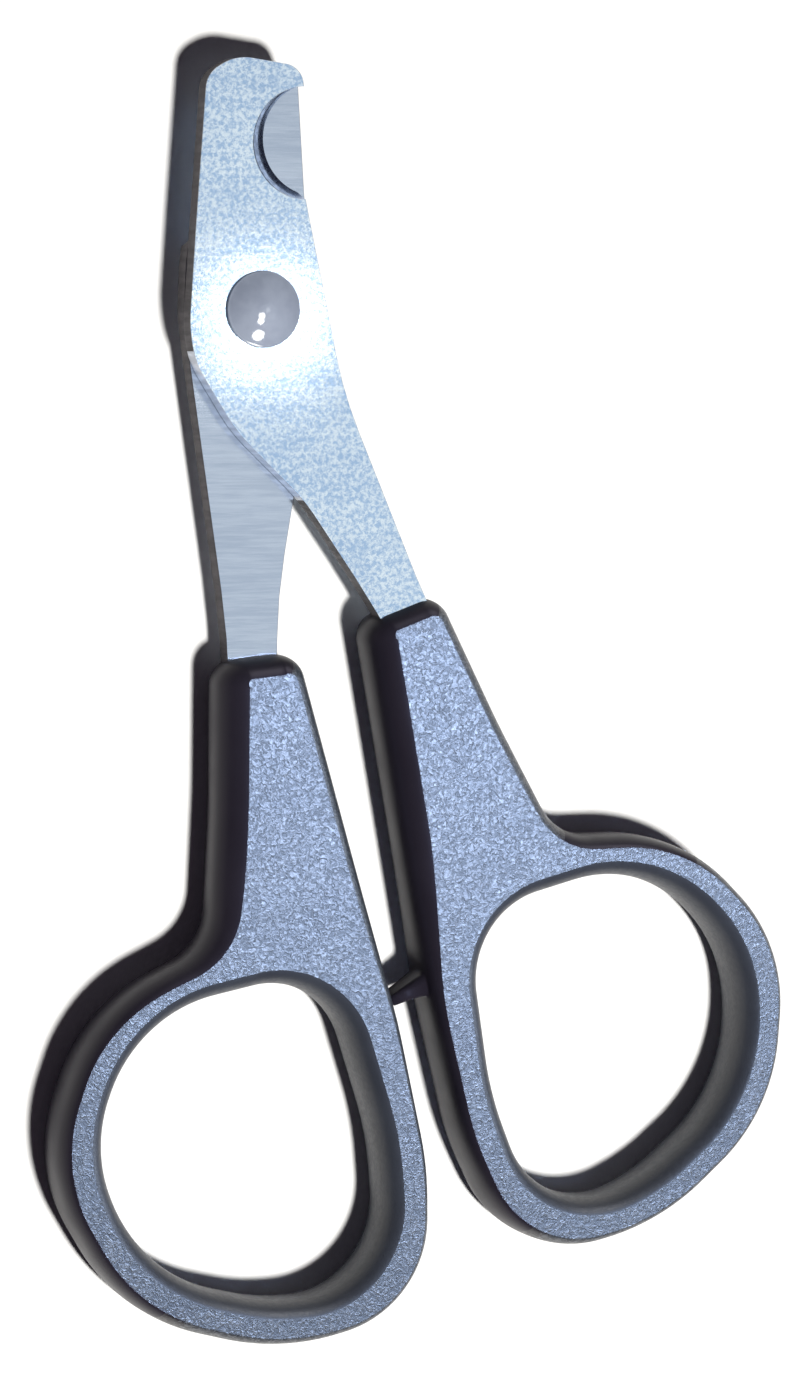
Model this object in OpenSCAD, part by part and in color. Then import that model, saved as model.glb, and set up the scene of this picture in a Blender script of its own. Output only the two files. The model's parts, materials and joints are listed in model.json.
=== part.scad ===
// Scissor nail clipper for pets: two flat steel levers on one rivet, each with
// a moulded plastic handle that ends in a finger ring. Drawn closed, in
// millimetres, lying flat: +Z up, the blades towards +Y and the rings towards -Y.
// The origin is the centre of the overall box, on the face it lies on.

/* [Blades] */
// Thickness of each steel blade
blade_t = 1.6; // [1.3:0.1:1.7]
// Gap between the two blades' facing sides
blade_gap = 0.03; // [0.02:0.01:0.05]
// Radius of the front blade's nail notch
notch_r = 4.1; // [3.6:0.1:4.3]
// Distance of that notch's centre ahead of the pivot
notch_y = 12.4; // [12:0.1:12.6]
// Slant of the ground notch wall across the blade, from the vertical, in degrees
notch_slant = 39; // [30:1:42]
// Slant of that wall along the blade, towards the pivot, in degrees
notch_drop = 11; // [0:1:15]
// Radius of the rear blade's notch
rear_notch_r = 5.2; // [4.8:0.1:5.4]
// Distance of the rear blade's notch centre ahead of the pivot
rear_notch_y = 10.1; // [9.8:0.1:10.3]
// Diameter of the hole in each tang that the plastic fills
key_d = 2.0; // [1.6:0.1:2.2]

/* [Pivot] */
// Diameter of the rivet's shank
shank_d = 3; // [2.6:0.1:3.4]
// Diameter of the rivet's domed head
head_d = 5.6; // [5:0.1:6.4]
// Height of the rivet's domed head
head_h = 1.1; // [0.8:0.1:1.3]
// Diameter of the rivet's peened tail
tail_d = 4.6; // [4.2:0.1:5]
// Height of the rivet's peened tail
tail_h = 0.7; // [0.5:0.1:0.9]
// Height of the straight rim under the head's dome, and under the tail's
rim_h = 0.2; // [0.1:0.05:0.3]
// Radial clearance of the shank in the blade that turns on it
shank_clearance = 0.04; // [0.02:0.01:0.08]

/* [Handles] */
// Thickness of the handles
handle_t = 6; // [5.6:0.2:7]
// How far the side rounds over on to the flat face, at the front end of the neck
front_shoulder = 1.3; // [1:0.1:1.6]
// The same along the left side of the neck
left_shoulder = 1.85; // [1.4:0.05:2]
// The same along the right side of the neck
right_shoulder = 1.1; // [0.8:0.1:1.4]
// The same on the outside of the finger ring
ring_shoulder = 0.7; // [0.5:0.1:0.9]
// The same inside the finger hole
hole_shoulder = 1.2; // [0.8:0.1:1.3]
// Pivot to the front end of the left handle
left_reach = 25.5; // [25.2:0.1:26]
// Pivot to the front end of the right handle
right_reach = 24.5; // [24:0.1:24.8]
// How far the stop lug stands off the right handle
stop_len = 2.7; // [1.5:0.05:2.7]

/* [Hidden] */

steel = [0.72, 0.75, 0.80];
rear_steel = [0.66, 0.68, 0.71];
rivet_steel = [0.45, 0.47, 0.53];
plastic = [0.16, 0.16, 0.19];

// Angle of each handle from -Y about the pivot, in degrees
left_angle = -1.2;
right_angle = 26.9;

// The plane where the two blades meet is the handles' middle plane.
mid_z = handle_t / 2;
// Degrees in each step of an outline's rounded corners
arc_step = 8;
// Straight stretches of a handle's outline are cut into pieces no longer than this.
long_step = 2.6;
// How far a cutter reaches past the face it cuts
slack = 1;
// Sides of the round holes, shanks and domes, and steps in half a dome
round_sides = 72;
small_sides = 32;
dome_steps = 10;
// How squarely a handle's side turns into its flat faces: 2 is a plain round
side_power = 2.6;

// Outlines are closed polygons whose corners are [x, y, radius].
// Blades: about the pivot, the blade tip towards +Y.
FRONT_BLADE = [
    [3.2, 17.6, 1.6], [-2.0, 18.35, 3.5], [-4.25, 17.0, 2.0], [-5.1, 6.0, 60], [-5.6, -1.2, 9],
    [-5.2, -3.8, 6], [-2.0, -8.9, 12], [3.2, -13.9, 14], [9.0, -22.3, 60],
    [17.1, -37.3, 1.2], [20.0, -35.9, 1.2], [12.7, -21.4, 60], [6.3, -6.2, 30],
    [3.2, 8.6, 8]
];
REAR_BLADE = [
    [3.25, 17.5, 1.6], [-3.4, 18.0, 2.4], [-5.36, 3.2, 2.5], [-5.5, -0.4, 6], [-5.2, -3.0, 30],
    [-2.2, -24.0, 60], [-1.8, -41.6, 1.2], [1.4, -41.6, 1.2], [1.7, -21.0, 40],
    [3.6, -10.0, 30], [4.9, -1.0, 10], [3.85, 7.4, 14]
];
FRONT_NOTCH_X = 4.7;
REAR_NOTCH_X = -6.2;
FRONT_KEY = [16.2, -32.2];
REAR_KEY = [-0.2, -36.0];

// Handle: x towards the other handle, y along the handle from its front end.
HANDLE = [
    [-2.8, 0.25, 2.0], [3.3, -0.5, 2.0], [11.55, 26.6, 40], [14.15, 37.6, 24],
    [14.4, 48.2, 8.5], [3.0, 51.2, 18], [-9.0, 48.2, 14], [-15.7, 37.2, 12],
    [-12.0, 25.6, 13], [-3.0, 21.0, 4.5], [-2.7, 11.0, 60]
];
FINGER_HOLE = [
    [6.0, 22.8, 6.5], [10.3, 35.6, 24], [11.4, 47.0, 6.8], [1.8, 47.4, 15],
    [-7.9, 45.2, 12.2], [-11.8, 35.6, 10.2], [-8.6, 26.0, 10.6]
];
// A point inside the finger hole that sees all of the handle's outline
HOLE_CENTRE = [0, 36];
// The shoulder changes from the neck's to the ring's between these distances.
blend_start = 14;
blend_end = 30;

// Stop lug: its place along the handle, how deep its root is, and its size
stop_y = 25.8;
stop_root = 10;
stop_face = 11.3;
stop_w = 1.1;
stop_h = 3;

// Rounded closed outline: every corner gives an arc of [point, outward normal].
function unit(v) = v / norm(v);
function turn(a, b) = atan2(a.x * b.y - a.y * b.x, a * b);
function area2(c) = let (n = len(c))
    sum([for (i = [0:n - 1]) c[i].x * c[(i + 1) % n].y - c[(i + 1) % n].x * c[i].y]);
function sum(v, i = 0) = i == len(v) ? 0 : v[i] + sum(v, i + 1);
function xy(c) = [c.x, c.y];
function corner_arc(a, b, c, r, side) = let (
        d0 = unit(b - a),
        d1 = unit(c - b),
        bend = turn(d0, d1),
        reach = r * tan(abs(bend) / 2),
        hand = sign(bend),
        centre = b - d0 * reach + hand * r * [-d0.y, d0.x],
        steps = max(1, ceil(abs(bend) / arc_step)),
        start = atan2(-hand * d0.x, hand * d0.y)
    ) [for (k = [0:steps]) let (a = start + bend * k / steps, ray = [cos(a), sin(a)])
        [centre + r * ray, side * hand * ray]];
function rounded(corners) = let (n = len(corners), side = sign(area2(corners)))
    [for (i = [0:n - 1]) each corner_arc(xy(corners[(i + n - 1) % n]), xy(corners[i]),
        xy(corners[(i + 1) % n]), corners[i][2], side)];
function points(outline) = [for (p = outline) p[0]];

// Share of the shoulder that the side has turned in, at a height t from -1 to 1
function side_turn(t) = 1 - sqrt(1 - pow(abs(t), side_power));
function ease(t) = let (s = min(1, max(0, t))) s * s * (3 - 2 * s);
// Outer shoulder at y along the handle, where lean is how far the side faces right, -1 to 1
function outer_shoulder(y, lean) = let (
        s = ease((y - blend_start) / (blend_end - blend_start)),
        side_shoulder = lean < 0 ? left_shoulder : right_shoulder,
        neck_shoulder = front_shoulder + (side_shoulder - front_shoulder) * abs(lean)
    ) neck_shoulder + (ring_shoulder - neck_shoulder) * s;

// Places about the pivot
function handle_place(p, hand, reach, angle) = let (x = hand * p.x, y = -(p.y + reach))
    [x * cos(angle) - y * sin(angle), x * sin(angle) + y * cos(angle)];
left_outline = [for (p = rounded(HANDLE)) handle_place(p[0], 1, left_reach, left_angle)];
right_outline = [for (p = rounded(HANDLE)) handle_place(p[0], -1, right_reach, right_angle)];
blade_outline = points(rounded(FRONT_BLADE));
all_points = concat(left_outline, right_outline, blade_outline);
xs = [for (p = all_points) p.x];
ys = [for (p = all_points) p.y];
pivot = [-(min(xs) + max(xs)) / 2, -(min(ys) + max(ys)) / 2, mid_z];
echo(pivot = pivot, size = [max(xs) - min(xs), max(ys) - min(ys), handle_t]);

// The same outline with its long straight stretches cut into pieces
function filled(outline) = let (n = len(outline))
    [for (i = [0:n - 1]) let (a = outline[i], b = outline[(i + 1) % n],
            cuts = max(1, ceil(norm(b[0] - a[0]) / long_step)))
        each [for (k = [0:cuts - 1]) a + (b - a) * k / cuts]];

// Where a ray from the centre towards p leaves an outline, as [point, normal]
function cross2(a, b) = a.x * b.y - a.y * b.x;
function ray(outline, centre, p) = let (n = len(outline), d = p - centre)
    [for (i = [0:n - 1]) let (a = outline[i], b = outline[(i + 1) % n],
            ca = cross2(a[0] - centre, d), cb = cross2(b[0] - centre, d))
        if (ca * cb <= 0 && ca != cb && (a[0] + b[0] - 2 * centre) * d > 0)
            a + (b - a) * ca / (ca - cb)][0];

// Heights of the rings of points, close together where the sides round over
HEIGHTS = [for (k = [-4:4]) sin(22.5 * k)];

// One closed section of the handle, from its outer side to the finger hole's side
function section(outer, shoulder, hole) = concat(
    [for (t = HEIGHTS) let (q = outer[0] - outer[1] * shoulder * side_turn(t))
        [q.x, q.y, t * mid_z]],
    [for (k = [len(HEIGHTS) - 1:-1:0]) let (t = HEIGHTS[k],
            q = hole[0] + hole[1] * hole_shoulder * side_turn(t))
        [q.x, q.y, t * mid_z]]);

// The moulding: sections all the way round the finger hole, joined in a ring.
// hand is 1 for the left handle and -1 for the right one, which is mirrored when placed.
module handle_body(hand) {
    outer = filled(rounded(HANDLE));
    hole = rounded(FINGER_HOLE);
    sections = [for (p = outer) let (shoulder = outer_shoulder(p[0].y, hand * p[1].x))
        section(p, shoulder, ray(hole, HOLE_CENTRE, p[0] - p[1] * shoulder))];
    n = len(sections);
    m = len(sections[0]);
    faces = [for (i = [0:n - 1], j = [0:m - 1]) each
        let (i2 = (i + 1) % n, j2 = (j + 1) % m,
                a = i * m + j, b = i2 * m + j, c = i2 * m + j2, d = i * m + j2)
            [[a, c, b], [a, d, c]]];
    polyhedron([for (s = sections) each s], faces);
}

// A handle about the pivot: hand is 1 for the left handle and -1 for the right
module place_handle(hand, reach, angle) {
    rotate([0, 0, angle]) mirror([0, 1, 0]) translate([0, reach, 0])
        if (hand > 0) children(); else mirror([1, 0, 0]) children();
}

// Sheared round cutter: it meets the blades' facing plane at x, and opens away from it.
// way is 1 for the front blade and -1 for the rear one, whose notch faces the other side.
module notch(x, y, r, way) {
    lean = tan(notch_slant);
    drop = tan(notch_drop);
    low = blade_gap - slack;
    high = blade_t + slack;
    sheet = 0.01;
    hull() for (h = [low, high])
        translate([x - way * lean * h, y - drop * h, way * h]) cylinder(r = r, h = sheet, $fn = round_sides);
}

module blade_plate(corners, key) {
    linear_extrude(blade_t) difference() {
        polygon(points(rounded(corners)));
        translate(key) circle(d = key_d, $fn = small_sides);
    }
}

module front_plate() {
    translate([0, 0, blade_gap]) blade_plate(FRONT_BLADE, FRONT_KEY);
}

module rear_plate() {
    translate([0, 0, -blade_t]) blade_plate(REAR_BLADE, REAR_KEY);
}

module bore(d) {
    translate([0, 0, -blade_t - slack]) cylinder(d = d, h = 2 * (blade_t + slack), $fn = round_sides);
}

module rear_blade() {
    color(rear_steel) translate(pivot) difference() {
        rear_plate();
        notch(REAR_NOTCH_X, rear_notch_y, rear_notch_r, -1);
        bore(shank_d);
    }
}

module front_blade() {
    color(steel) translate(pivot) difference() {
        front_plate();
        notch(FRONT_NOTCH_X, notch_y, notch_r, 1);
        bore(shank_d + 2 * shank_clearance);
    }
}

// Low dome on a short straight rim, with its flat side on the XY plane
module dome(d, h) {
    rise = h - rim_h;
    r = (d * d / 4 + rise * rise) / (2 * rise);
    spread = asin(d / 2 / r);
    arc = [for (k = [dome_steps:-1:1]) let (a = spread * k / dome_steps)
        [r * sin(a), h - r + r * cos(a)]];
    rotate_extrude($fn = round_sides) polygon(concat([[0, 0], [d / 2, 0]], arc, [[0, h]]));
}

module pivot_rivet() {
    top = blade_gap + blade_t + blade_gap;
    color(rivet_steel) translate(pivot) {
        translate([0, 0, -blade_t]) cylinder(d = shank_d, h = blade_t + top, $fn = round_sides);
        translate([0, 0, top]) dome(head_d, head_h);
        translate([0, 0, -blade_t]) mirror([0, 0, 1]) dome(tail_d, tail_h);
    }
}

module left_handle() {
    color(plastic) translate(pivot) difference() {
        place_handle(1, left_reach, left_angle) handle_body(1);
        rear_plate();
    }
}

// The lug that the left handle's side meets when the clipper is closed
module stop_lug() {
    tip = stop_face + stop_len - stop_w / 2;
    translate([0, stop_y, -stop_h / 2]) {
        translate([stop_root, -stop_w / 2, 0]) cube([tip - stop_root, stop_w, stop_h]);
        translate([tip, 0, 0]) cylinder(d = stop_w, h = stop_h, $fn = small_sides);
    }
}

module right_handle() {
    color(plastic) translate(pivot) difference() {
        place_handle(-1, right_reach, right_angle) {
            handle_body(-1);
            stop_lug();
        }
        front_plate();
    }
}

rear_blade();
front_blade();
pivot_rivet();
left_handle();
right_handle();
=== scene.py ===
"""Looks of the scissor nail clipper: steel blades, domed rivet and moulded handles."""

import json
import math

import bmesh
import bpy
import numpy as np
from mathutils import Matrix, Vector


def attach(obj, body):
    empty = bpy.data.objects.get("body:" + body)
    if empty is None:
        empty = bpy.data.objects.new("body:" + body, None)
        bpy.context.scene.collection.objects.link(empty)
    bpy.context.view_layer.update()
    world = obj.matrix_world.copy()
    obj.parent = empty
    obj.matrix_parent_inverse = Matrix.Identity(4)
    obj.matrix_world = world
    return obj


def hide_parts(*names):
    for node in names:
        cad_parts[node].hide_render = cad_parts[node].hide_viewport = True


MM = 0.001

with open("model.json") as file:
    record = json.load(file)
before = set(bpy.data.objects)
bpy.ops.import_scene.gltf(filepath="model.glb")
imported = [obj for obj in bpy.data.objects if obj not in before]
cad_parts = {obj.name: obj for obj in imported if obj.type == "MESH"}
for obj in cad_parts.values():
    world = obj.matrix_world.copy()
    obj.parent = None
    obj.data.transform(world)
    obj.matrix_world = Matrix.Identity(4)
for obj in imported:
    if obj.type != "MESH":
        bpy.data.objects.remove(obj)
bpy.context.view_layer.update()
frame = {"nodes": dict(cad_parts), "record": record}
PIVOT = np.array(frame["record"]["behaviour"]["joints"][0]["pos_m"]) / MM

# Sizes in millimetres, about the pivot unless a comment says otherwise.
BLADE_T = 1.6
BLADE_GAP = 0.03
FRONT_NOTCH = (4.7, 12.4, 4.1)
REAR_NOTCH = (-6.2, 10.1, 5.2)
SHANK_D = 3.0
SHANK_CLEARANCE = 0.04
HEAD_D = 5.6
HEAD_H = 1.1
TAIL_D = 4.6
TAIL_H = 0.7
RIM_H = 0.2
HANDLE_T = 6.0
FRONT_SHOULDER = 1.3
LEFT_SHOULDER = 1.85
RIGHT_SHOULDER = 1.1
RING_SHOULDER = 0.7
HOLE_SHOULDER = 1.2
LEFT_REACH = 25.5
RIGHT_REACH = 24.5
LEFT_ANGLE = -1.2
RIGHT_ANGLE = 26.9
STOP_Y = 25.8
STOP_OUT = 14.0

# Outlines: corners [x, y, radius] of closed polygons.
FRONT_BLADE = [
    (3.2, 17.6, 1.6), (-2.0, 18.35, 3.5), (-4.25, 17.0, 2.0), (-5.1, 6.0, 60), (-5.6, -1.2, 9),
    (-5.2, -3.8, 6), (-2.0, -8.9, 12), (3.2, -13.9, 14), (9.0, -22.3, 60),
    (17.1, -37.3, 1.2), (20.0, -35.9, 1.2), (12.7, -21.4, 60), (6.3, -6.2, 30),
    (3.2, 8.6, 8),
]
REAR_BLADE = [
    (3.25, 17.5, 1.6), (-3.4, 18.0, 2.4), (-5.36, 3.2, 2.5), (-5.5, -0.4, 6), (-5.2, -3.0, 30),
    (-2.2, -24.0, 60), (-1.8, -41.6, 1.2), (1.4, -41.6, 1.2), (1.7, -21.0, 40),
    (3.6, -10.0, 30), (4.9, -1.0, 10), (3.85, 7.4, 14),
]
HANDLE = [
    (-2.8, 0.25, 2.0), (3.3, -0.5, 2.0), (11.55, 26.6, 40), (14.15, 37.6, 24),
    (14.4, 48.2, 8.5), (3.0, 51.2, 18), (-9.0, 48.2, 14), (-15.7, 37.2, 12),
    (-12.0, 25.6, 13), (-3.0, 21.0, 4.5), (-2.7, 11.0, 60),
]
FINGER_HOLE = [
    (6.0, 22.8, 6.5), (10.3, 35.6, 24), (11.4, 47.0, 6.8), (1.8, 47.4, 15),
    (-7.9, 45.2, 12.2), (-11.8, 35.6, 10.2), (-8.6, 26.0, 10.6),
]

# Where along the handle the neck's shoulder turns into the ring's
BLEND_START = 14
BLEND_END = 30

# Degrees between the points of a rounded corner, and the longest piece of a side
FINE_ARC = 2.0
FINE_STEP = 0.3
BLADE_ARC = 5.0
BLADE_STEP = 0.8
SHORTEST = 1e-6


# ---------------------------------------------------------------- outlines

def corner_arc(a, b, c, radius, side, arc_step):
    """Points and outward normals of the arc that rounds corner b."""
    d0 = (b - a) / np.linalg.norm(b - a)
    d1 = (c - b) / np.linalg.norm(c - b)
    bend = math.atan2(d0[0] * d1[1] - d0[1] * d1[0], d0 @ d1)
    hand = math.copysign(1, bend)
    centre = b - d0 * radius * math.tan(abs(bend) / 2) + hand * radius * np.array([-d0[1], d0[0]])
    steps = max(1, math.ceil(math.degrees(abs(bend)) / arc_step))
    start = math.atan2(-hand * d0[0], hand * d0[1])
    arc = []
    for k in range(steps + 1):
        angle = start + bend * k / steps
        out = np.array([math.cos(angle), math.sin(angle)])
        arc.append((centre + radius * out, side * hand * out))
    return arc


def rounded(corners, arc_step):
    """Closed outline of rounded corners: arrays of points and outward normals."""
    xy = [np.array(c[:2], float) for c in corners]
    n = len(xy)
    area = sum(xy[i][0] * xy[(i + 1) % n][1] - xy[(i + 1) % n][0] * xy[i][1] for i in range(n))
    side = math.copysign(1, area)
    out = []
    for i in range(n):
        out += corner_arc(xy[i - 1], xy[i], xy[(i + 1) % n], corners[i][2], side, arc_step)
    return np.array([p for p, _ in out]), np.array([q for _, q in out])


def filled(points, normals, step):
    """The same outline with its long stretches cut into short pieces."""
    p_out, n_out = [], []
    for i in range(len(points)):
        j = (i + 1) % len(points)
        length = np.linalg.norm(points[j] - points[i])
        if length < SHORTEST:
            continue
        cuts = max(1, math.ceil(length / step))
        for k in range(cuts):
            p_out.append(points[i] + (points[j] - points[i]) * k / cuts)
            normal = normals[i] + (normals[j] - normals[i]) * k / cuts
            n_out.append(normal / np.linalg.norm(normal))
    return np.array(p_out), np.array(n_out)


def ease(t):
    """Smooth step from 0 at t = 0 to 1 at t = 1."""
    s = min(1.0, max(0.0, t))
    return s * s * (3 - 2 * s)


def outer_shoulder(y, lean):
    """Outer shoulder at y along the handle, where the side faces right by lean, -1 to 1."""
    s = ease((y - BLEND_START) / (BLEND_END - BLEND_START))
    side = LEFT_SHOULDER if lean < 0 else RIGHT_SHOULDER
    neck = FRONT_SHOULDER + (side - FRONT_SHOULDER) * abs(lean)
    return neck + (RING_SHOULDER - neck) * s


def side_turn(t):
    """Share of the shoulder that the side has turned in at height t, -1 to 1."""
    whole = 1 - math.sqrt(1 - SIDE_CUT ** SIDE_POWER)
    return (1 - math.sqrt(1 - (SIDE_CUT * abs(t)) ** SIDE_POWER)) / whole


# ---------------------------------------------------------------- meshes

# Shape of the handles' sides. The power says how squarely a side rounds over. The last of its
# turn is cut off, so that the flat face ends in a crisp line.
SIDE_POWER = 2.6
SIDE_CUT = 0.985
HEIGHT_STEPS = 17

# The stop lug: half its width and half its height, each with the strip over which it eases away
LUG_HALF_W = 0.35
LUG_EASE_W = 0.4
LUG_HALF_H = 1.1
LUG_EASE_H = 0.5

# The grained top wraps over the sides that face the way below, from the start below to a span beyond it.
# Its lighter colour there is painted highlight, standing in for the light those sides catch from the
# lamps at lower right.
# Along the others it fades over the strip FADE_W, and covers EDGE_COVER of the rim itself.
LIT_SIDE_WAY = np.array([0.87, -0.5])
LIT_SIDE_START = -0.05
LIT_SIDE_SPAN = 0.35
LIT_SIDE_LEAST = 0.02
FADE_W = 0.3
EDGE_COVER = 0.3

# Material numbers on a handle and on a blade. CAP is for the blade's two flats while it is made.
SIDES, GRAINED, HOLE = range(3)
FLAT, PAINTED_DARK_WALL, GROUND, BURNISHED, CAP = range(5)

# How level a face is to count as flat, and the bends that are left crisp, in degrees
LEVEL = 0.9999
BLADE_CRISP = 35
RIVET_CRISP = 30


def new_object(name, vertices, faces):
    """A mesh object from vertices in millimetres."""
    mesh = bpy.data.meshes.new(name)
    mesh.from_pydata([tuple(float(c) for c in v) for v in vertices], [], faces)
    mesh.validate()
    obj = bpy.data.objects.new(name, mesh)
    bpy.context.collection.objects.link(obj)
    return obj


def to_metres(obj):
    """Turns a finished mesh from millimetres into metres."""
    obj.data.transform(Matrix.Scale(MM, 4))
    obj.data.update()
    return obj


def handle_point(p, hand, reach, angle):
    """From a handle's own x, y to the row frame, in millimetres."""
    x = hand * p[0]
    y = -(p[1] + reach)
    a = math.radians(angle)
    return np.array([x * math.cos(a) - y * math.sin(a) + PIVOT[0],
                     x * math.sin(a) + y * math.cos(a) + PIVOT[1]])


def heights():
    """Heights -1 to 1 of the rows of points, close together near the faces."""
    k = np.linspace(-1, 1, 2 * HEIGHT_STEPS + 1)
    return np.sin(k * math.pi / 2)


def bump_at(s, width, edge):
    """1 within width of the middle, easing to 0 over edge."""
    return 1 - ease((abs(s) - width) / edge)


def lit_side_cover(normal, hand, angle):
    """How far the grain's lighter colour, painted highlight for the lit side, wraps over a side with
    this normal in the handle's own x, y.
    """
    a = math.radians(angle)
    x, y = hand * normal[0], -normal[1]
    facing = np.array([x * math.cos(a) - y * math.sin(a), x * math.sin(a) + y * math.cos(a)])
    return ease((facing @ LIT_SIDE_WAY - LIT_SIDE_START) / LIT_SIDE_SPAN)


def walls(vertices, faces, finish, count, start, choose):
    """Quads between the rows of points that begin at start, with the finish that choose gives."""
    rows = (len(vertices) - start) // count
    for j in range(rows - 1):
        for i in range(count):
            i2 = (i + 1) % count
            low, high = start + j * count, start + (j + 1) * count
            faces.append([low + i, low + i2, high + i2, high + i])
            finish.append(choose(j, i))


def fill_between(bm, outer, inner, finish):
    """Fills the flat face between two closed rows of points, each a (start, count)."""
    bm.verts.ensure_lookup_table()
    edges = []
    for start, count in (outer, inner):
        for k in range(count):
            ends = (bm.verts[start + k], bm.verts[start + (k + 1) % count])
            edges.append(bm.edges.get(ends))
    made = bmesh.ops.triangle_fill(bm, edges=edges, use_beauty=True)
    for face in made["geom"]:
        if isinstance(face, bmesh.types.BMFace):
            face.material_index = finish


def finish_mesh(bm, mesh, crisp):
    """Turns the faces outwards and shades them smooth, but for the edges that crisp picks."""
    bmesh.ops.recalc_face_normals(bm, faces=bm.faces)
    for face in bm.faces:
        face.smooth = True
    for edge in bm.edges:
        if crisp(edge):
            edge.smooth = False
    bm.to_mesh(mesh)
    bm.free()


def paint_faces(mesh, finish):
    """Gives each face its material number."""
    for poly, index in zip(mesh.polygons, finish):
        poly.material_index = index


def lug_push(p, t, half):
    """How far the stop lug pushes out the side at point p and height t."""
    along = bump_at(p[1] - STOP_Y, LUG_HALF_W, LUG_EASE_W)
    return np.array([1, 0]) * (STOP_OUT - p[0]) * along * bump_at(t * half, LUG_HALF_H, LUG_EASE_H)


def at_flat_rim(edge):
    """Whether the edge joins a level face to one that isn't."""
    return len({abs(face.normal.z) > LEVEL for face in edge.link_faces}) > 1


def make_handle(name, hand, reach, angle, lug):
    """The moulding: rounded sides round the outline and the finger hole, and flat faces between."""
    points, normals = filled(*rounded(HANDLE, FINE_ARC), FINE_STEP)
    hole_points, hole_normals = filled(*rounded(FINGER_HOLE, FINE_ARC), FINE_STEP)
    rows = heights()
    half = HANDLE_T / 2
    vertices, cover, faces, finish = [], [], [], []

    def add(p, t, grain):
        x, y = handle_point(p, hand, reach, angle)
        vertices.append((x, y, t * half + PIVOT[2]))
        cover.append(grain)

    shoulders = [outer_shoulder(p[1], hand * q[0]) for p, q in zip(points, normals)]
    # The grain colour on the sides that face the lamps is painted highlight.
    lit_wrap = [lit_side_cover(q, hand, angle) for q in normals]
    inset = [p - q * (shoulder + FADE_W) for p, q, shoulder in zip(points, normals, shoulders)]
    for p in inset:
        add(p, -1, 1.0)
    for t in rows:
        for p, q, shoulder, share in zip(points, normals, shoulders, lit_wrap):
            r = p - q * shoulder * side_turn(t)
            if lug and p[0] > 0:
                r = r + lug_push(p, t, half)
            add(r, t, share if abs(t) < 1 else EDGE_COVER + (1 - EDGE_COVER) * share)
    for p in inset:
        add(p, 1, 1.0)
    n = len(points)

    # The upper halves of the lit sides take the grained material, whose lighter colour there is painted
    # highlight.
    def outer_finish(j, i):
        lit_wraps = j > len(rows) // 2 and min(lit_wrap[i], lit_wrap[(i + 1) % n]) > LIT_SIDE_LEAST
        return GRAINED if j in (0, len(rows)) or lit_wraps else SIDES

    walls(vertices, faces, finish, n, 0, outer_finish)
    hole = len(vertices)
    for t in rows:
        for p, q in zip(hole_points, hole_normals):
            add(p + q * HOLE_SHOULDER * side_turn(t), t, 1.0)
    n_hole = len(hole_points)
    walls(vertices, faces, finish, n_hole, hole, lambda j, i: HOLE)

    obj = new_object(name, vertices, faces)
    mesh = obj.data
    mesh.attributes.new("grain_and_lit_side_cover", "FLOAT", "POINT").data.foreach_set("value", cover)
    paint_faces(mesh, finish)
    bm = bmesh.new()
    bm.from_mesh(mesh)
    fill_between(bm, (0, n), (hole, n_hole), GRAINED)
    fill_between(bm, (hole - n, n), (len(vertices) - n_hole, n_hole), GRAINED)
    finish_mesh(bm, mesh, at_flat_rim)
    return to_metres(obj)


# The notch wall: its slant from the vertical below and above the height where it changes, and
# its slant along the blade, in degrees
WALL_LOW = 34
WALL_HIGH = 51
WALL_CHANGE = 1.2
WALL_DROP = 11

# The stretch of the front blade's left edge that keeps plain burnished steel, and the line it stays left
# of. The other walls get painted shade: a dark colour for the shadow that the shiny steel reflects.
BURNISHED_Y = (-13.6, -3.0)
BURNISHED_LEAN = -0.3

# How finely a blade is cut up: points round the bore and the notch, pieces of the short sides
# beside the notch, and rows of points up the wall. NOTCH_ROOM is how far the outline's own
# points stay from the notch.
BORE_COUNT = 96
NOTCH_COUNT = 72
JOIN_COUNT = 4
NOTCH_ROOM = 0.25
WALL_ROWS = 4
LOW_TURNS = (0, 30, 60, 90)
TOP_TURNS = (15, 30, 45, 60, 75, 90)
HALVINGS = 40


def notch_shift(h):
    """How far the notch has moved outwards at height h above the facing plane."""
    low = min(h, WALL_CHANGE) * math.tan(math.radians(WALL_LOW))
    return low + max(0.0, h - WALL_CHANGE) * math.tan(math.radians(WALL_HIGH))


def crossing(points, start, way, centre, radius):
    """Where the outline, followed from index start, enters the notch circle."""
    n = len(points)
    i = start
    while np.linalg.norm(points[(i + way) % n] - centre) > radius:
        i += way
    a, b = points[i % n], points[(i + way) % n]
    for _ in range(HALVINGS):
        mid = (a + b) / 2
        if np.linalg.norm(mid - centre) > radius:
            a = mid
        else:
            b = mid
    return a


def turned_near(angle, middle):
    """The same angle, by whole turns brought to within half a turn of middle."""
    while angle < middle - math.pi:
        angle += 2 * math.pi
    while angle > middle + math.pi:
        angle -= 2 * math.pi
    return angle


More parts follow.
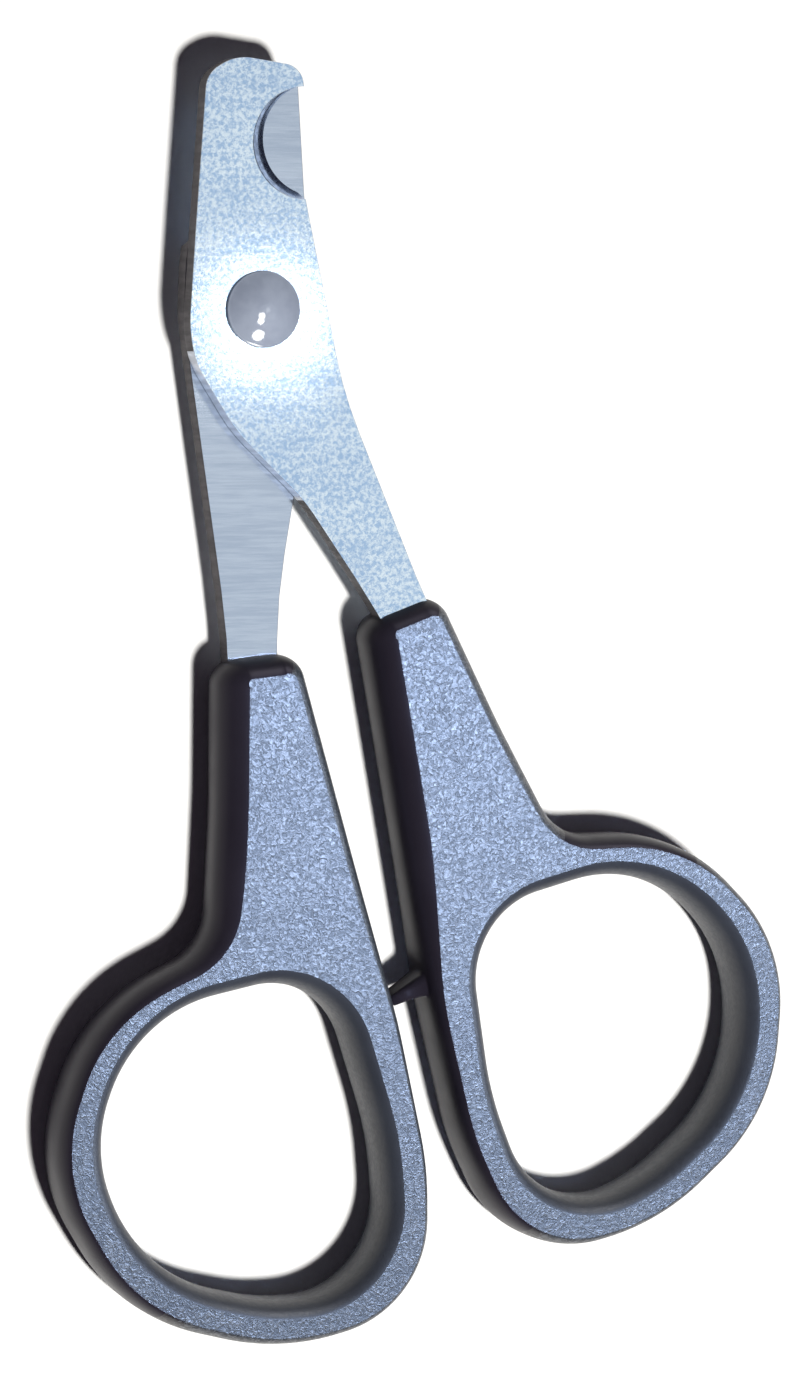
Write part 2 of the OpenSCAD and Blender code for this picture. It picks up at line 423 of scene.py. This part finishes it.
def notched_loop(points, normals, first, last, centre, radius, middle):
    """The outline with the round notch cut in, from point first round to point last.
    middle is the direction from the notch's centre into the blade."""
    n = len(points)
    kept = [(first + k) % n for k in range((last - first) % n + 1)]
    enter = crossing(points, last, 1, centre, radius)
    leave = crossing(points, first, -1, centre, radius)
    start, end = (turned_near(math.atan2(*(p - centre)[::-1]), middle) for p in (enter, leave))
    loop = [(points[i], normals[i]) for i in kept]
    side_in, side_out = normals[last], normals[first]
    for k in range(1, JOIN_COUNT):
        loop.append((points[last] + (enter - points[last]) * k / JOIN_COUNT, side_in))
    for k in range(NOTCH_COUNT + 1):
        a = start + (end - start) * k / NOTCH_COUNT
        ray = np.array([math.cos(a), math.sin(a)])
        normal = -ray
        if k in (0, NOTCH_COUNT):
            normal = -ray + (side_in if k == 0 else side_out)
            normal = normal / np.linalg.norm(normal)
        loop.append((centre + radius * ray, normal))
    for k in range(1, JOIN_COUNT):
        loop.append((leave + (points[first] - leave) * k / JOIN_COUNT, side_out))
    return loop


def blade_levels(round_top, round_low):
    """Rows up a blade's wall, from the facing plane: (height, how far the row is drawn in)."""
    levels = []
    for turn in LOW_TURNS:
        a = math.radians(turn)
        levels.append((round_low * (1 - math.cos(a)), round_low * (1 - math.sin(a))))
    for low, high in ((round_low, WALL_CHANGE), (WALL_CHANGE, BLADE_T - round_top)):
        levels += [(h, 0.0) for h in np.linspace(low, high, WALL_ROWS)[1:]]
    for turn in TOP_TURNS:
        a = math.radians(turn)
        levels.append((BLADE_T - round_top * (1 - math.sin(a)), round_top * (1 - math.cos(a))))
    return levels


def wall_finish(x, y, way, in_notch):
    """Material number of a blade's wall at x, y."""
    low, high = BURNISHED_Y
    if way > 0 and low < y < high and x < BURNISHED_LEAN * y:
        return BURNISHED
    # Outside the notch the wall gets painted shade: a dark colour standing in for the shadow that the
    # shiny steel reflects.
    return GROUND if in_notch else PAINTED_DARK_WALL


def at_blade_rim(edge):
    """Whether the edge borders a flat, or is a sharp bend of the wall."""
    caps = [face.material_index == CAP for face in edge.link_faces]
    bend = len(caps) == 2 and not caps[0] and edge.calc_face_angle() > math.radians(BLADE_CRISP)
    return len(set(caps)) > 1 or bend


def add_bore(vertices, faces, finish, bore_d, low, way):
    """The rivet's hole right through a blade."""
    bore = len(vertices)
    for h in (0.0, BLADE_T):
        for k in range(BORE_COUNT):
            a = 2 * math.pi * k / BORE_COUNT
            vertices.append((bore_d / 2 * math.cos(a), bore_d / 2 * math.sin(a), low + way * h))
    # The bore's wall gets the same painted dark colour.
    walls(vertices, faces, finish, BORE_COUNT, bore, lambda j, i: PAINTED_DARK_WALL)
    return bore


def make_blade(name, corners, low, way, notch, bore_d, round_top, round_low):
    """A flat blade from its facing plane at height low, built outwards in direction way."""
    points, normals = filled(*rounded(corners, BLADE_ARC), BLADE_STEP)
    levels = blade_levels(round_top, round_low)
    notch_x, notch_y, notch_r = notch
    drop = math.tan(math.radians(WALL_DROP))
    centres = [np.array([notch_x - way * notch_shift(h), notch_y - drop * h]) for h, _ in levels]
    far = [min(np.linalg.norm(p - c) for c in centres) > notch_r + NOTCH_ROOM for p in points]
    n = len(points)
    first = next(i for i in range(n) if far[i] and not far[i - 1])
    last = next(i for i in range(n) if far[i] and not far[(i + 1) % n])
    middle = math.pi if way > 0 else 0.0
    vertices = []
    for (h, inset), centre in zip(levels, centres):
        for p, q in notched_loop(points, normals, first, last, centre, notch_r, middle):
            r = p - q * inset
            vertices.append((r[0], r[1], low + way * h))
    m = len(vertices) // len(levels)
    notch_start = (last - first) % n + JOIN_COUNT

    def finish_at(j, i):
        if j >= len(levels) - len(TOP_TURNS):
            return FLAT
        x, y, _ = vertices[j * m + i]
        return wall_finish(x, y, way, notch_start <= i < notch_start + NOTCH_COUNT)

    faces, finish = [], []
    walls(vertices, faces, finish, m, 0, finish_at)
    bore = add_bore(vertices, faces, finish, bore_d, low, way)
    obj = new_object(name, vertices, faces)
    paint_faces(obj.data, finish)
    bm = bmesh.new()
    bm.from_mesh(obj.data)
    fill_between(bm, (0, m), (bore, BORE_COUNT), CAP)
    fill_between(bm, (bore - m, m), (bore + BORE_COUNT, BORE_COUNT), CAP)
    finish_mesh(bm, obj.data, at_blade_rim)
    for poly in obj.data.polygons:
        if poly.material_index == CAP:
            poly.material_index = FLAT
    obj.data.transform(Matrix.Translation(PIVOT))
    return to_metres(obj)


# The rivet's domes: how far the rim's edge is rolled inwards and downwards, and how finely all
# of it is cut up
ROLL_IN = 0.096
ROLL_DOWN = 0.112
ROLL_TURNS = (15, 30, 45, 60, 75)
DOME_STEPS = 24
RIVET_SIDES = 128
MERGE = 1e-4


def at_bend(edge):
    """Whether the rivet's surface turns sharply at the edge."""
    return len(edge.link_faces) == 2 and edge.calc_face_angle() > math.radians(RIVET_CRISP)


def lathe(name, profile, count):
    """Turns a profile of (radius, height) pairs about the pivot's axis."""
    vertices, faces = [], []
    for r, z in profile:
        for k in range(count):
            a = 2 * math.pi * k / count
            vertices.append((r * math.cos(a), r * math.sin(a), z))
    walls(vertices, faces, [], count, 0, lambda j, i: 0)
    obj = new_object(name, vertices, faces)
    bm = bmesh.new()
    bm.from_mesh(obj.data)
    bmesh.ops.remove_doubles(bm, verts=bm.verts, dist=MERGE)
    finish_mesh(bm, obj.data, at_bend)
    obj.data.transform(Matrix.Translation(PIVOT))
    return to_metres(obj)


def dome_profile(d, h):
    """Low dome on a short rim whose edge is rolled over, from the rim up."""
    rise = h - RIM_H
    r = (d * d / 4 + rise * rise) / (2 * rise)
    spread = math.asin((d / 2 - ROLL_IN) / r)
    low_edge = h - r + r * math.cos(spread)
    out = [(d / 2, 0.0), (d / 2, low_edge - ROLL_DOWN)]
    for turn in ROLL_TURNS:
        a = math.radians(turn)
        out.append((d / 2 - ROLL_IN * (1 - math.cos(a)), low_edge - ROLL_DOWN * (1 - math.sin(a))))
    for k in range(DOME_STEPS, -1, -1):
        a = spread * k / DOME_STEPS
        out.append((r * math.sin(a), h - r + r * math.cos(a)))
    return out


def make_rivet(name):
    """Domed head, shank and lower domed tail, turned in one."""
    top = BLADE_GAP + BLADE_T + BLADE_GAP
    tail = [(r, -BLADE_T - z) for r, z in dome_profile(TAIL_D, TAIL_H)][::-1]
    head = [(r, top + z) for r, z in dome_profile(HEAD_D, HEAD_H)]
    shank = [(SHANK_D / 2, -BLADE_T), (SHANK_D / 2, top)]
    return lathe(name, tail + shank + head, RIVET_SIDES)


# ---------------------------------------------------------------- materials

def material(name, **sockets):
    """A node material whose shader sockets hold the plain values given."""
    mat = bpy.data.materials.new(name)
    mat.use_nodes = True
    shader = mat.node_tree.nodes["Principled BSDF"]
    for key, value in sockets.items():
        shader.inputs[key.replace("_", " ")].default_value = value
    return mat, shader


class Nodes:
    """Short ways to add and join nodes in one material."""

    def __init__(self, mat):
        self.tree = mat.node_tree
        self.place = self.add("ShaderNodeTexCoord").outputs["Object"]

    def add(self, kind, **values):
        node = self.tree.nodes.new(kind)
        for key, value in values.items():
            setattr(node, key, value)
        return node

    def link(self, a, b):
        self.tree.links.new(a, b)

    def mapped(self, scale=(1, 1, 1), turn=0.0):
        """Object coordinates, stretched by scale and turned by this many degrees about Z."""
        node = self.add("ShaderNodeMapping")
        node.inputs["Scale"].default_value = scale
        node.inputs["Rotation"].default_value = (0, 0, math.radians(turn))
        self.link(self.place, node.inputs["Vector"])
        return node.outputs["Vector"]

    def noise(self, vector, scale, detail=2.0, rough=0.5, distortion=0.0):
        node = self.add("ShaderNodeTexNoise")
        node.inputs["Scale"].default_value = scale
        node.inputs["Detail"].default_value = detail
        node.inputs["Roughness"].default_value = rough
        node.inputs["Distortion"].default_value = distortion
        self.link(vector, node.inputs["Vector"])
        return node.outputs["Fac"]

    def ramp(self, value, stops):
        """Turns a value into greys or colours, eased between the (value, colour) stops."""
        node = self.add("ShaderNodeValToRGB")
        ramp = node.color_ramp
        ramp.interpolation = "EASE"
        while len(ramp.elements) < len(stops):
            ramp.elements.new(0.5)
        for element, (position, colour) in zip(ramp.elements, stops):
            element.position = position
            if not isinstance(colour, tuple):
                colour = (colour, colour, colour)
            element.color = (*colour, 1)
        self.link(value, node.inputs["Fac"])
        return node.outputs["Color"]

    def mix(self, factor, a, b):
        """From a to b by factor; each is a colour or another node's output."""
        node = self.add("ShaderNodeMix", data_type="RGBA")
        self.link(factor, node.inputs["Factor"])
        for socket, value in ((node.inputs[6], a), (node.inputs[7], b)):
            if isinstance(value, tuple):
                socket.default_value = (*value, 1)
            else:
                self.link(value, socket)
        return node.outputs[2]

    def times(self, a, b):
        node = self.add("ShaderNodeMix", data_type="RGBA", blend_type="MULTIPLY")
        node.inputs["Factor"].default_value = 1.0
        self.link(a, node.inputs[6])
        self.link(b, node.inputs[7])
        return node.outputs[2]

    def math(self, operation, a, b):
        node = self.add("ShaderNodeMath", operation=operation)
        for socket, value in zip(node.inputs, (a, b)):
            if isinstance(value, (int, float)):
                socket.default_value = value
            else:
                self.link(value, socket)
        return node.outputs[0]

    def blend(self, a, share, b):
        """share of a, and the rest of b."""
        return self.math("ADD", self.math("MULTIPLY", a, share), self.math("MULTIPLY", b, 1 - share))

    def bump(self, height, strength, distance):
        node = self.add("ShaderNodeBump")
        node.inputs["Strength"].default_value = strength
        node.inputs["Distance"].default_value = distance
        self.link(height, node.inputs["Height"])
        return node.outputs["Normal"]


def grained_plastic():
    """Spark-eroded texture of the flat faces: fine worm-like grain that glints. Its colour ends raggedly
    where the mesh's cover attribute falls off, and on the sides that face the lamps that colour is
    painted highlight."""
    mat, shader = material("grained_plastic", Specular_IOR_Level=0.6, IOR=1.5)
    n = Nodes(mat)
    grain = n.noise(n.mapped(), 3300, 2.0, 0.55, 1.1)
    patches = n.noise(n.mapped(), 260, 3.0, 0.6)
    peaks = n.ramp(grain, [(0.40, 0.0), (0.64, 1.0)])
    colour = n.mix(peaks, (0.025, 0.029, 0.037), (0.072, 0.079, 0.093))
    shade = n.ramp(patches, [(0.3, (0.84, 0.85, 0.88)), (0.7, (1.06, 1.06, 1.06))])
    colour = n.times(colour, shade)
    # The cover attribute holds the grain's own ragged edge and the painted highlight on the lit sides.
    cover = n.add("ShaderNodeAttribute", attribute_name="grain_and_lit_side_cover").outputs["Fac"]
    ragged = n.math("ADD", cover, n.math("MULTIPLY", n.math("SUBTRACT", grain, 0.5), 1.4))
    mask = n.ramp(ragged, [(0.44, 0.0), (0.56, 1.0)])
    n.link(n.mix(mask, (0.014, 0.012, 0.017), colour), shader.inputs["Base Color"])
    n.link(n.ramp(grain, [(0.3, 0.50), (0.7, 0.32)]), shader.inputs["Roughness"])
    n.link(n.bump(grain, 0.48, 0.0001), shader.inputs["Normal"])
    return mat


def smooth_plastic():
    """Glossy sides of the moulding, with faint flow ripples and fine scuffs."""
    mat, shader = material("smooth_plastic", Specular_IOR_Level=0.15, IOR=1.5,
                           Specular_Tint=(0.95, 0.88, 1.0, 1))
    n = Nodes(mat)
    clouds = n.noise(n.mapped(), 180, 3.0, 0.55)
    fine = n.noise(n.mapped(), 3200, 2.0, 0.6)
    colour = n.mix(clouds, (0.014, 0.012, 0.019), (0.022, 0.019, 0.029))
    n.link(colour, shader.inputs["Base Color"])
    n.link(n.ramp(clouds, [(0.3, 0.33), (0.7, 0.43)]), shader.inputs["Roughness"])
    n.link(n.bump(fine, 0.10, 0.00003), shader.inputs["Normal"])
    return mat


def satin_plastic():
    """Finger holes: the same plastic, a little duller, with specks of grain."""
    mat, shader = material("satin_plastic", Specular_IOR_Level=0.4, IOR=1.5)
    n = Nodes(mat)
    clouds = n.noise(n.mapped(), 240, 3.0, 0.55)
    fine = n.noise(n.mapped(), 3000, 2.0, 0.6, 0.6)
    n.link(n.mix(clouds, (0.026, 0.029, 0.040), (0.044, 0.050, 0.066)), shader.inputs["Base Color"])
    n.link(n.ramp(fine, [(0.3, 0.50), (0.7, 0.38)]), shader.inputs["Roughness"])
    n.link(n.bump(fine, 0.35, 0.00004), shader.inputs["Normal"])
    return mat


def blasted_steel():
    """Front blade: satin, tumbled steel with a mottled blue-silver sheen."""
    mat, shader = material("blasted_steel", Metallic=1.0)
    n = Nodes(mat)
    blotch = n.noise(n.mapped(), 3000, 4.0, 0.68, 0.3)
    broad = n.noise(n.mapped(), 190, 2.0, 0.5)
    streaks = n.noise(n.mapped((0.35, 2.6, 1), -33), 420, 3.0, 0.6)
    mottle = n.blend(blotch, 0.8, streaks)
    colour = n.mix(n.ramp(mottle, [(0.40, 0.0), (0.60, 1.0)]), (0.52, 0.65, 0.82), (0.98, 1.0, 1.0))
    tone = n.ramp(broad, [(0.3, (0.90, 0.92, 0.95)), (0.7, (1.0, 1.0, 1.0))])
    n.link(n.times(colour, tone), shader.inputs["Base Color"])
    n.link(n.ramp(mottle, [(0.3, 0.17), (0.7, 0.12)]), shader.inputs["Roughness"])
    n.link(n.bump(mottle, 0.35, 0.00002), shader.inputs["Normal"])
    return mat


def brushed_steel():
    """Rear blade: ground across its width, in fine lines with a few deeper ones."""
    mat, shader = material("brushed_steel", Metallic=1.0)
    n = Nodes(mat)
    lines = n.noise(n.mapped((0.06, 1, 1), 4), 5200, 3.0, 0.65)
    bands = n.noise(n.mapped((0.12, 1, 1), 4), 700, 2.0, 0.5)
    broad = n.noise(n.mapped(), 150, 2.0, 0.5)
    mixed = n.blend(lines, 0.6, bands)
    colour = n.mix(n.ramp(mixed, [(0.35, 0.0), (0.65, 1.0)]), (0.545, 0.575, 0.65), (0.67, 0.69, 0.75))
    n.link(colour, shader.inputs["Base Color"])
    n.link(n.ramp(broad, [(0.3, 0.13), (0.7, 0.17)]), shader.inputs["Roughness"])
    n.link(n.bump(mixed, 0.3, 0.00002), shader.inputs["Normal"])
    return mat


def cut_steel(name, colour, roughness, metallic):
    """Walls of the blades: the outline's walls, whose dark colour is painted shade for the shadow the
    shiny steel reflects, the notch's ground wall, and the burnished stretch.
    """
    mat, shader = material(name, Metallic=metallic)
    n = Nodes(mat)
    lines = n.noise(n.mapped((1, 1, 0.12)), 2600, 2.0, 0.6)
    dark = tuple(c * 0.75 for c in colour)
    n.link(n.mix(n.ramp(lines, [(0.35, 0.0), (0.65, 1.0)]), dark, colour), shader.inputs["Base Color"])
    n.link(n.ramp(lines, [(0.3, roughness + 0.06), (0.7, roughness - 0.04)]), shader.inputs["Roughness"])
    n.link(n.bump(lines, 0.25, 0.00002), shader.inputs["Normal"])
    return mat


def rivet_steel():
    """Dull blue-grey head, rubbed smooth, with faint turning marks."""
    mat, shader = material("rivet_steel", Metallic=0.0, Specular_IOR_Level=0.2,
                           Coat_Weight=1.0, Coat_Roughness=0.07)
    n = Nodes(mat)
    clouds = n.noise(n.mapped(), 420, 3.0, 0.6)
    fine = n.noise(n.mapped(), 3800, 2.0, 0.6)
    share = n.ramp(clouds, [(0.3, 0.0), (0.7, 1.0)])
    colour = n.mix(share, (0.235, 0.270, 0.350), (0.285, 0.325, 0.410))
    n.link(colour, shader.inputs["Base Color"])
    n.link(n.ramp(clouds, [(0.3, 0.50), (0.7, 0.60)]), shader.inputs["Roughness"])
    n.link(n.bump(fine, 0.12, 0.00002), shader.inputs["Normal"])
    return mat


def floor_material():
    """Pale paper, very slightly cloudy."""
    mat, shader = material("pale_floor", Roughness=0.85)
    n = Nodes(mat)
    clouds = n.noise(n.mapped(), 9, 3.0, 0.5)
    n.link(n.mix(clouds, (0.90, 0.90, 0.89), (0.93, 0.93, 0.92)), shader.inputs["Base Color"])
    return mat


def wear(obj, mats):
    """Gives the object these materials and keeps which face has which."""
    faces = [poly.material_index for poly in obj.data.polygons]
    obj.data.materials.clear()
    for mat in mats:
        obj.data.materials.append(mat)
    for poly, index in zip(obj.data.polygons, faces):
        poly.material_index = min(index, len(mats) - 1)


# ---------------------------------------------------------------- the object

GLOSS = smooth_plastic()
GRAIN = grained_plastic()
SATIN = satin_plastic()
FRONT_STEEL = blasted_steel()
REAR_STEEL = brushed_steel()
# Painted shade: the outline's walls are made dark for the shadow that the shiny steel reflects.
PAINTED_DARK_EDGE_STEEL = cut_steel("edge_steel_painted_dark", (0.052, 0.044, 0.050), 0.55, 0.5)
GROUND_STEEL = cut_steel("ground_steel", (0.36, 0.48, 0.72), 0.26, 1.0)
BURNISHED_STEEL = cut_steel("burnished_steel", (0.50, 0.54, 0.62), 0.32, 1.0)
RIVET_STEEL = rivet_steel()

left = make_handle("left_handle_moulding", 1, LEFT_REACH, LEFT_ANGLE, lug=False)
right = make_handle("right_handle_moulding", -1, RIGHT_REACH, RIGHT_ANGLE, lug=True)
front = make_blade("front_blade_plate", FRONT_BLADE, BLADE_GAP, 1, FRONT_NOTCH,
                   SHANK_D + 2 * SHANK_CLEARANCE, round_top=0.03, round_low=0.04)
rear = make_blade("rear_blade_plate", REAR_BLADE, 0.0, -1, REAR_NOTCH,
                  SHANK_D, round_top=0.06, round_low=0.03)
rivet = make_rivet("domed_rivet")

for obj in (left, right):
    wear(obj, [GLOSS, GRAIN, SATIN])
wear(front, [FRONT_STEEL, PAINTED_DARK_EDGE_STEEL, GROUND_STEEL, BURNISHED_STEEL])
wear(rear, [REAR_STEEL, PAINTED_DARK_EDGE_STEEL, GROUND_STEEL])
wear(rivet, [RIVET_STEEL])

for obj, body, node in ((left, "rear_lever", "left_handle"), (right, "front_lever", "right_handle"),
                        (front, "front_lever", "front_blade"), (rear, "rear_lever", "rear_blade"),
                        (rivet, "rear_lever", "pivot_rivet")):
    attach(obj, body)
    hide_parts(node)

# The CAD nodes are all hidden, and get a plain material so that none is left bare.
for node in frame["nodes"].values():
    wear(node, [GLOSS])

# ---------------------------------------------------------------- the studio

# Where the camera and the lamps point: the clipper's middle, the rivet's head, the two necks,
# and the front blade just past the rivet
AIM = Vector((-1.66, 0.69, 3.0)) * MM
HEAD_SPOT = Vector(PIVOT * MM)
NECK_SPOT = Vector((-5.0, 2.0, 6.0)) * MM
BLADE_SPOT = HEAD_SPOT + Vector((-1.3, 3.3, 1.5)) * MM

# The camera looks down, from LEAN_LEFT degrees to the left and LEAN_UP towards the tips
LEAN_LEFT = 20.7
LEAN_UP = 4.0
CAMERA_DISTANCE = 0.4
SENSOR_MM = 36
LENS_MM = 140.361
NEAREST = 0.01

FLOOR_SIZE = 1.5
FLOOR_DROP = 0.00002

# Colours of the lamps and of the light from all round
WARM_WHITE = (1.0, 0.985, 0.96)
PALE_BLUE = (0.80, 0.90, 1.0)
SHADE_VIOLET = (0.88, 0.72, 1.0)
SHADE_STRENGTH = 0.028


def make_camera():
    """A long lens, upright along Y, looking at the middle of the clipper."""
    lean = (-math.tan(math.radians(LEAN_LEFT)), math.tan(math.radians(LEAN_UP)), 1)
    towards = Vector(lean).normalized()
    data = bpy.data.cameras.new("camera")
    data.sensor_fit = "AUTO"
    data.sensor_width = SENSOR_MM
    data.lens = LENS_MM
    data.clip_start = NEAREST
    camera = bpy.data.objects.new("camera", data)
    bpy.context.collection.objects.link(camera)
    x = Vector((0, 1, 0)).cross(towards).normalized()
    turned = Matrix((x, towards.cross(x), towards)).transposed().to_4x4()
    camera.matrix_world = Matrix.Translation(AIM + towards * CAMERA_DISTANCE) @ turned
    bpy.context.scene.camera = camera


def area_light(name, direction, distance, size, power, colour, aim=AIM, only=()):
    """A round lamp that faces aim. One given objects in only lights those and nothing else."""
    data = bpy.data.lights.new(name, "AREA")
    data.shape = "DISK"
    data.size = size
    data.energy = power
    data.color = colour
    light = bpy.data.objects.new(name, data)
    bpy.context.collection.objects.link(light)
    d = Vector(direction).normalized()
    light.location = aim + d * distance
    light.rotation_mode = "QUATERNION"
    light.rotation_quaternion = d.to_track_quat("Z", "Y")
    light.visible_camera = False
    if only:
        lit = bpy.data.collections.new(name + "_receivers")
        for obj in only:
            lit.objects.link(obj)
        light.light_linking.receiver_collection = lit
    return light


def reflection(*values, **named):
    """A lamp that is seen only in reflections, and doesn't light a matt surface."""
    light = area_light(*values, **named)
    light.visible_diffuse = False


def make_key():
    """The lamp that casts the shadows. Its own reflections are left to the lamps below."""
    key = area_light("key", (0.15, -0.33, 1.0), distance=0.6, size=0.07, power=5.0, colour=WARM_WHITE)
    key.visible_glossy = False


def light_plastic():
    """What the handles reflect: sky on the necks' flats, and windows on the rounded sides."""
    handles = [left, right]
    reflection("sky", (0.373, -0.02, 1.0), 0.22, 0.08, 1.12, (0.50, 0.66, 1.0), NECK_SPOT, handles)
    reflection("side_fill", (1.0, -0.10, 0.45), 0.5, 0.25, 1.6, (0.70, 0.82, 1.0), only=handles)
    reflection("backlight", (0.35, 0.80, 0.48), 0.8, 0.5, 4.0, (0.95, 0.96, 1.0), only=handles)


def lamp_ring(name, count, first, step, rise, distance_size_power, only):
    """Equal pale lamps round the clipper, from first degrees in steps, raised by rise."""
    for k in range(count):
        turn = math.radians(first + step * k)
        side = (math.cos(turn), math.sin(turn), rise)
        reflection(name, side, *distance_size_power, PALE_BLUE, only=only)


def light_steel():
    """What the blades reflect: their burnished edge's lamp, and pale walls and a ceiling round
    all but the right side, so that the steel isn't black from other places."""
    blades = [front, rear]
    reflection("wall_fill", (-0.10, -0.33, 1.0), 1.0, 0.42, 0.60, PALE_BLUE, only=blades)
    lamp_ring("room", 7, 60, 40, 0.40, (1.0, 0.75, 0.85), blades + [rivet])
    lamp_ring("ceiling", 4, 80, 60, 1.2, (1.2, 0.95, 1.3), blades)


def light_rivet():
    """The glints low on the rivet's dome."""
    for place in ((0.15, -0.20), (0.13, -0.36)):
        way = (*place, 1.0)
        reflection("glint", way, 0.12, 0.024, 0.04, (1.0, 0.97, 0.92), HEAD_SPOT, [rivet])
    way = (0.144, -1.02, 1.0)
    reflection("low_glint", way, 0.12, 0.042, 0.10, (1.0, 0.97, 0.88), HEAD_SPOT, [rivet])


def make_floor():
    """A pale sheet just under the clipper."""
    bm = bmesh.new()
    bmesh.ops.create_grid(bm, x_segments=8, y_segments=8, size=FLOOR_SIZE)
    mesh = bpy.data.meshes.new("floor")
    bm.to_mesh(mesh)
    bm.free()
    floor = bpy.data.objects.new("floor", mesh)
    floor.location = (0, 0, -FLOOR_DROP)
    bpy.context.collection.objects.link(floor)
    wear(floor, [floor_material()])


def make_world():
    """Faint violet light from all round, which is what the shadows show."""
    world = bpy.data.worlds.new("studio")
    bpy.context.scene.world = world
    world.use_nodes = True
    background = world.node_tree.nodes["Background"]
    background.inputs["Color"].default_value = (*SHADE_VIOLET, 1)
    background.inputs["Strength"].default_value = SHADE_STRENGTH


make_camera()
make_floor()
make_world()
make_key()
# A lamp's softbox over everything, and the lamp's bright spot on the front blade
reflection("softbox", (0.36, -0.17, 1.0), 1.0, 0.70, 1.05, (0.79, 0.91, 1.0))
light_plastic()
light_steel()
reflection("glow", (0.378, -0.070, 1.0), 0.06, 0.0086, 0.00055, (0.95, 0.98, 1.0), BLADE_SPOT)
light_rivet()

bpy.context.scene.view_settings.view_transform = "Standard"
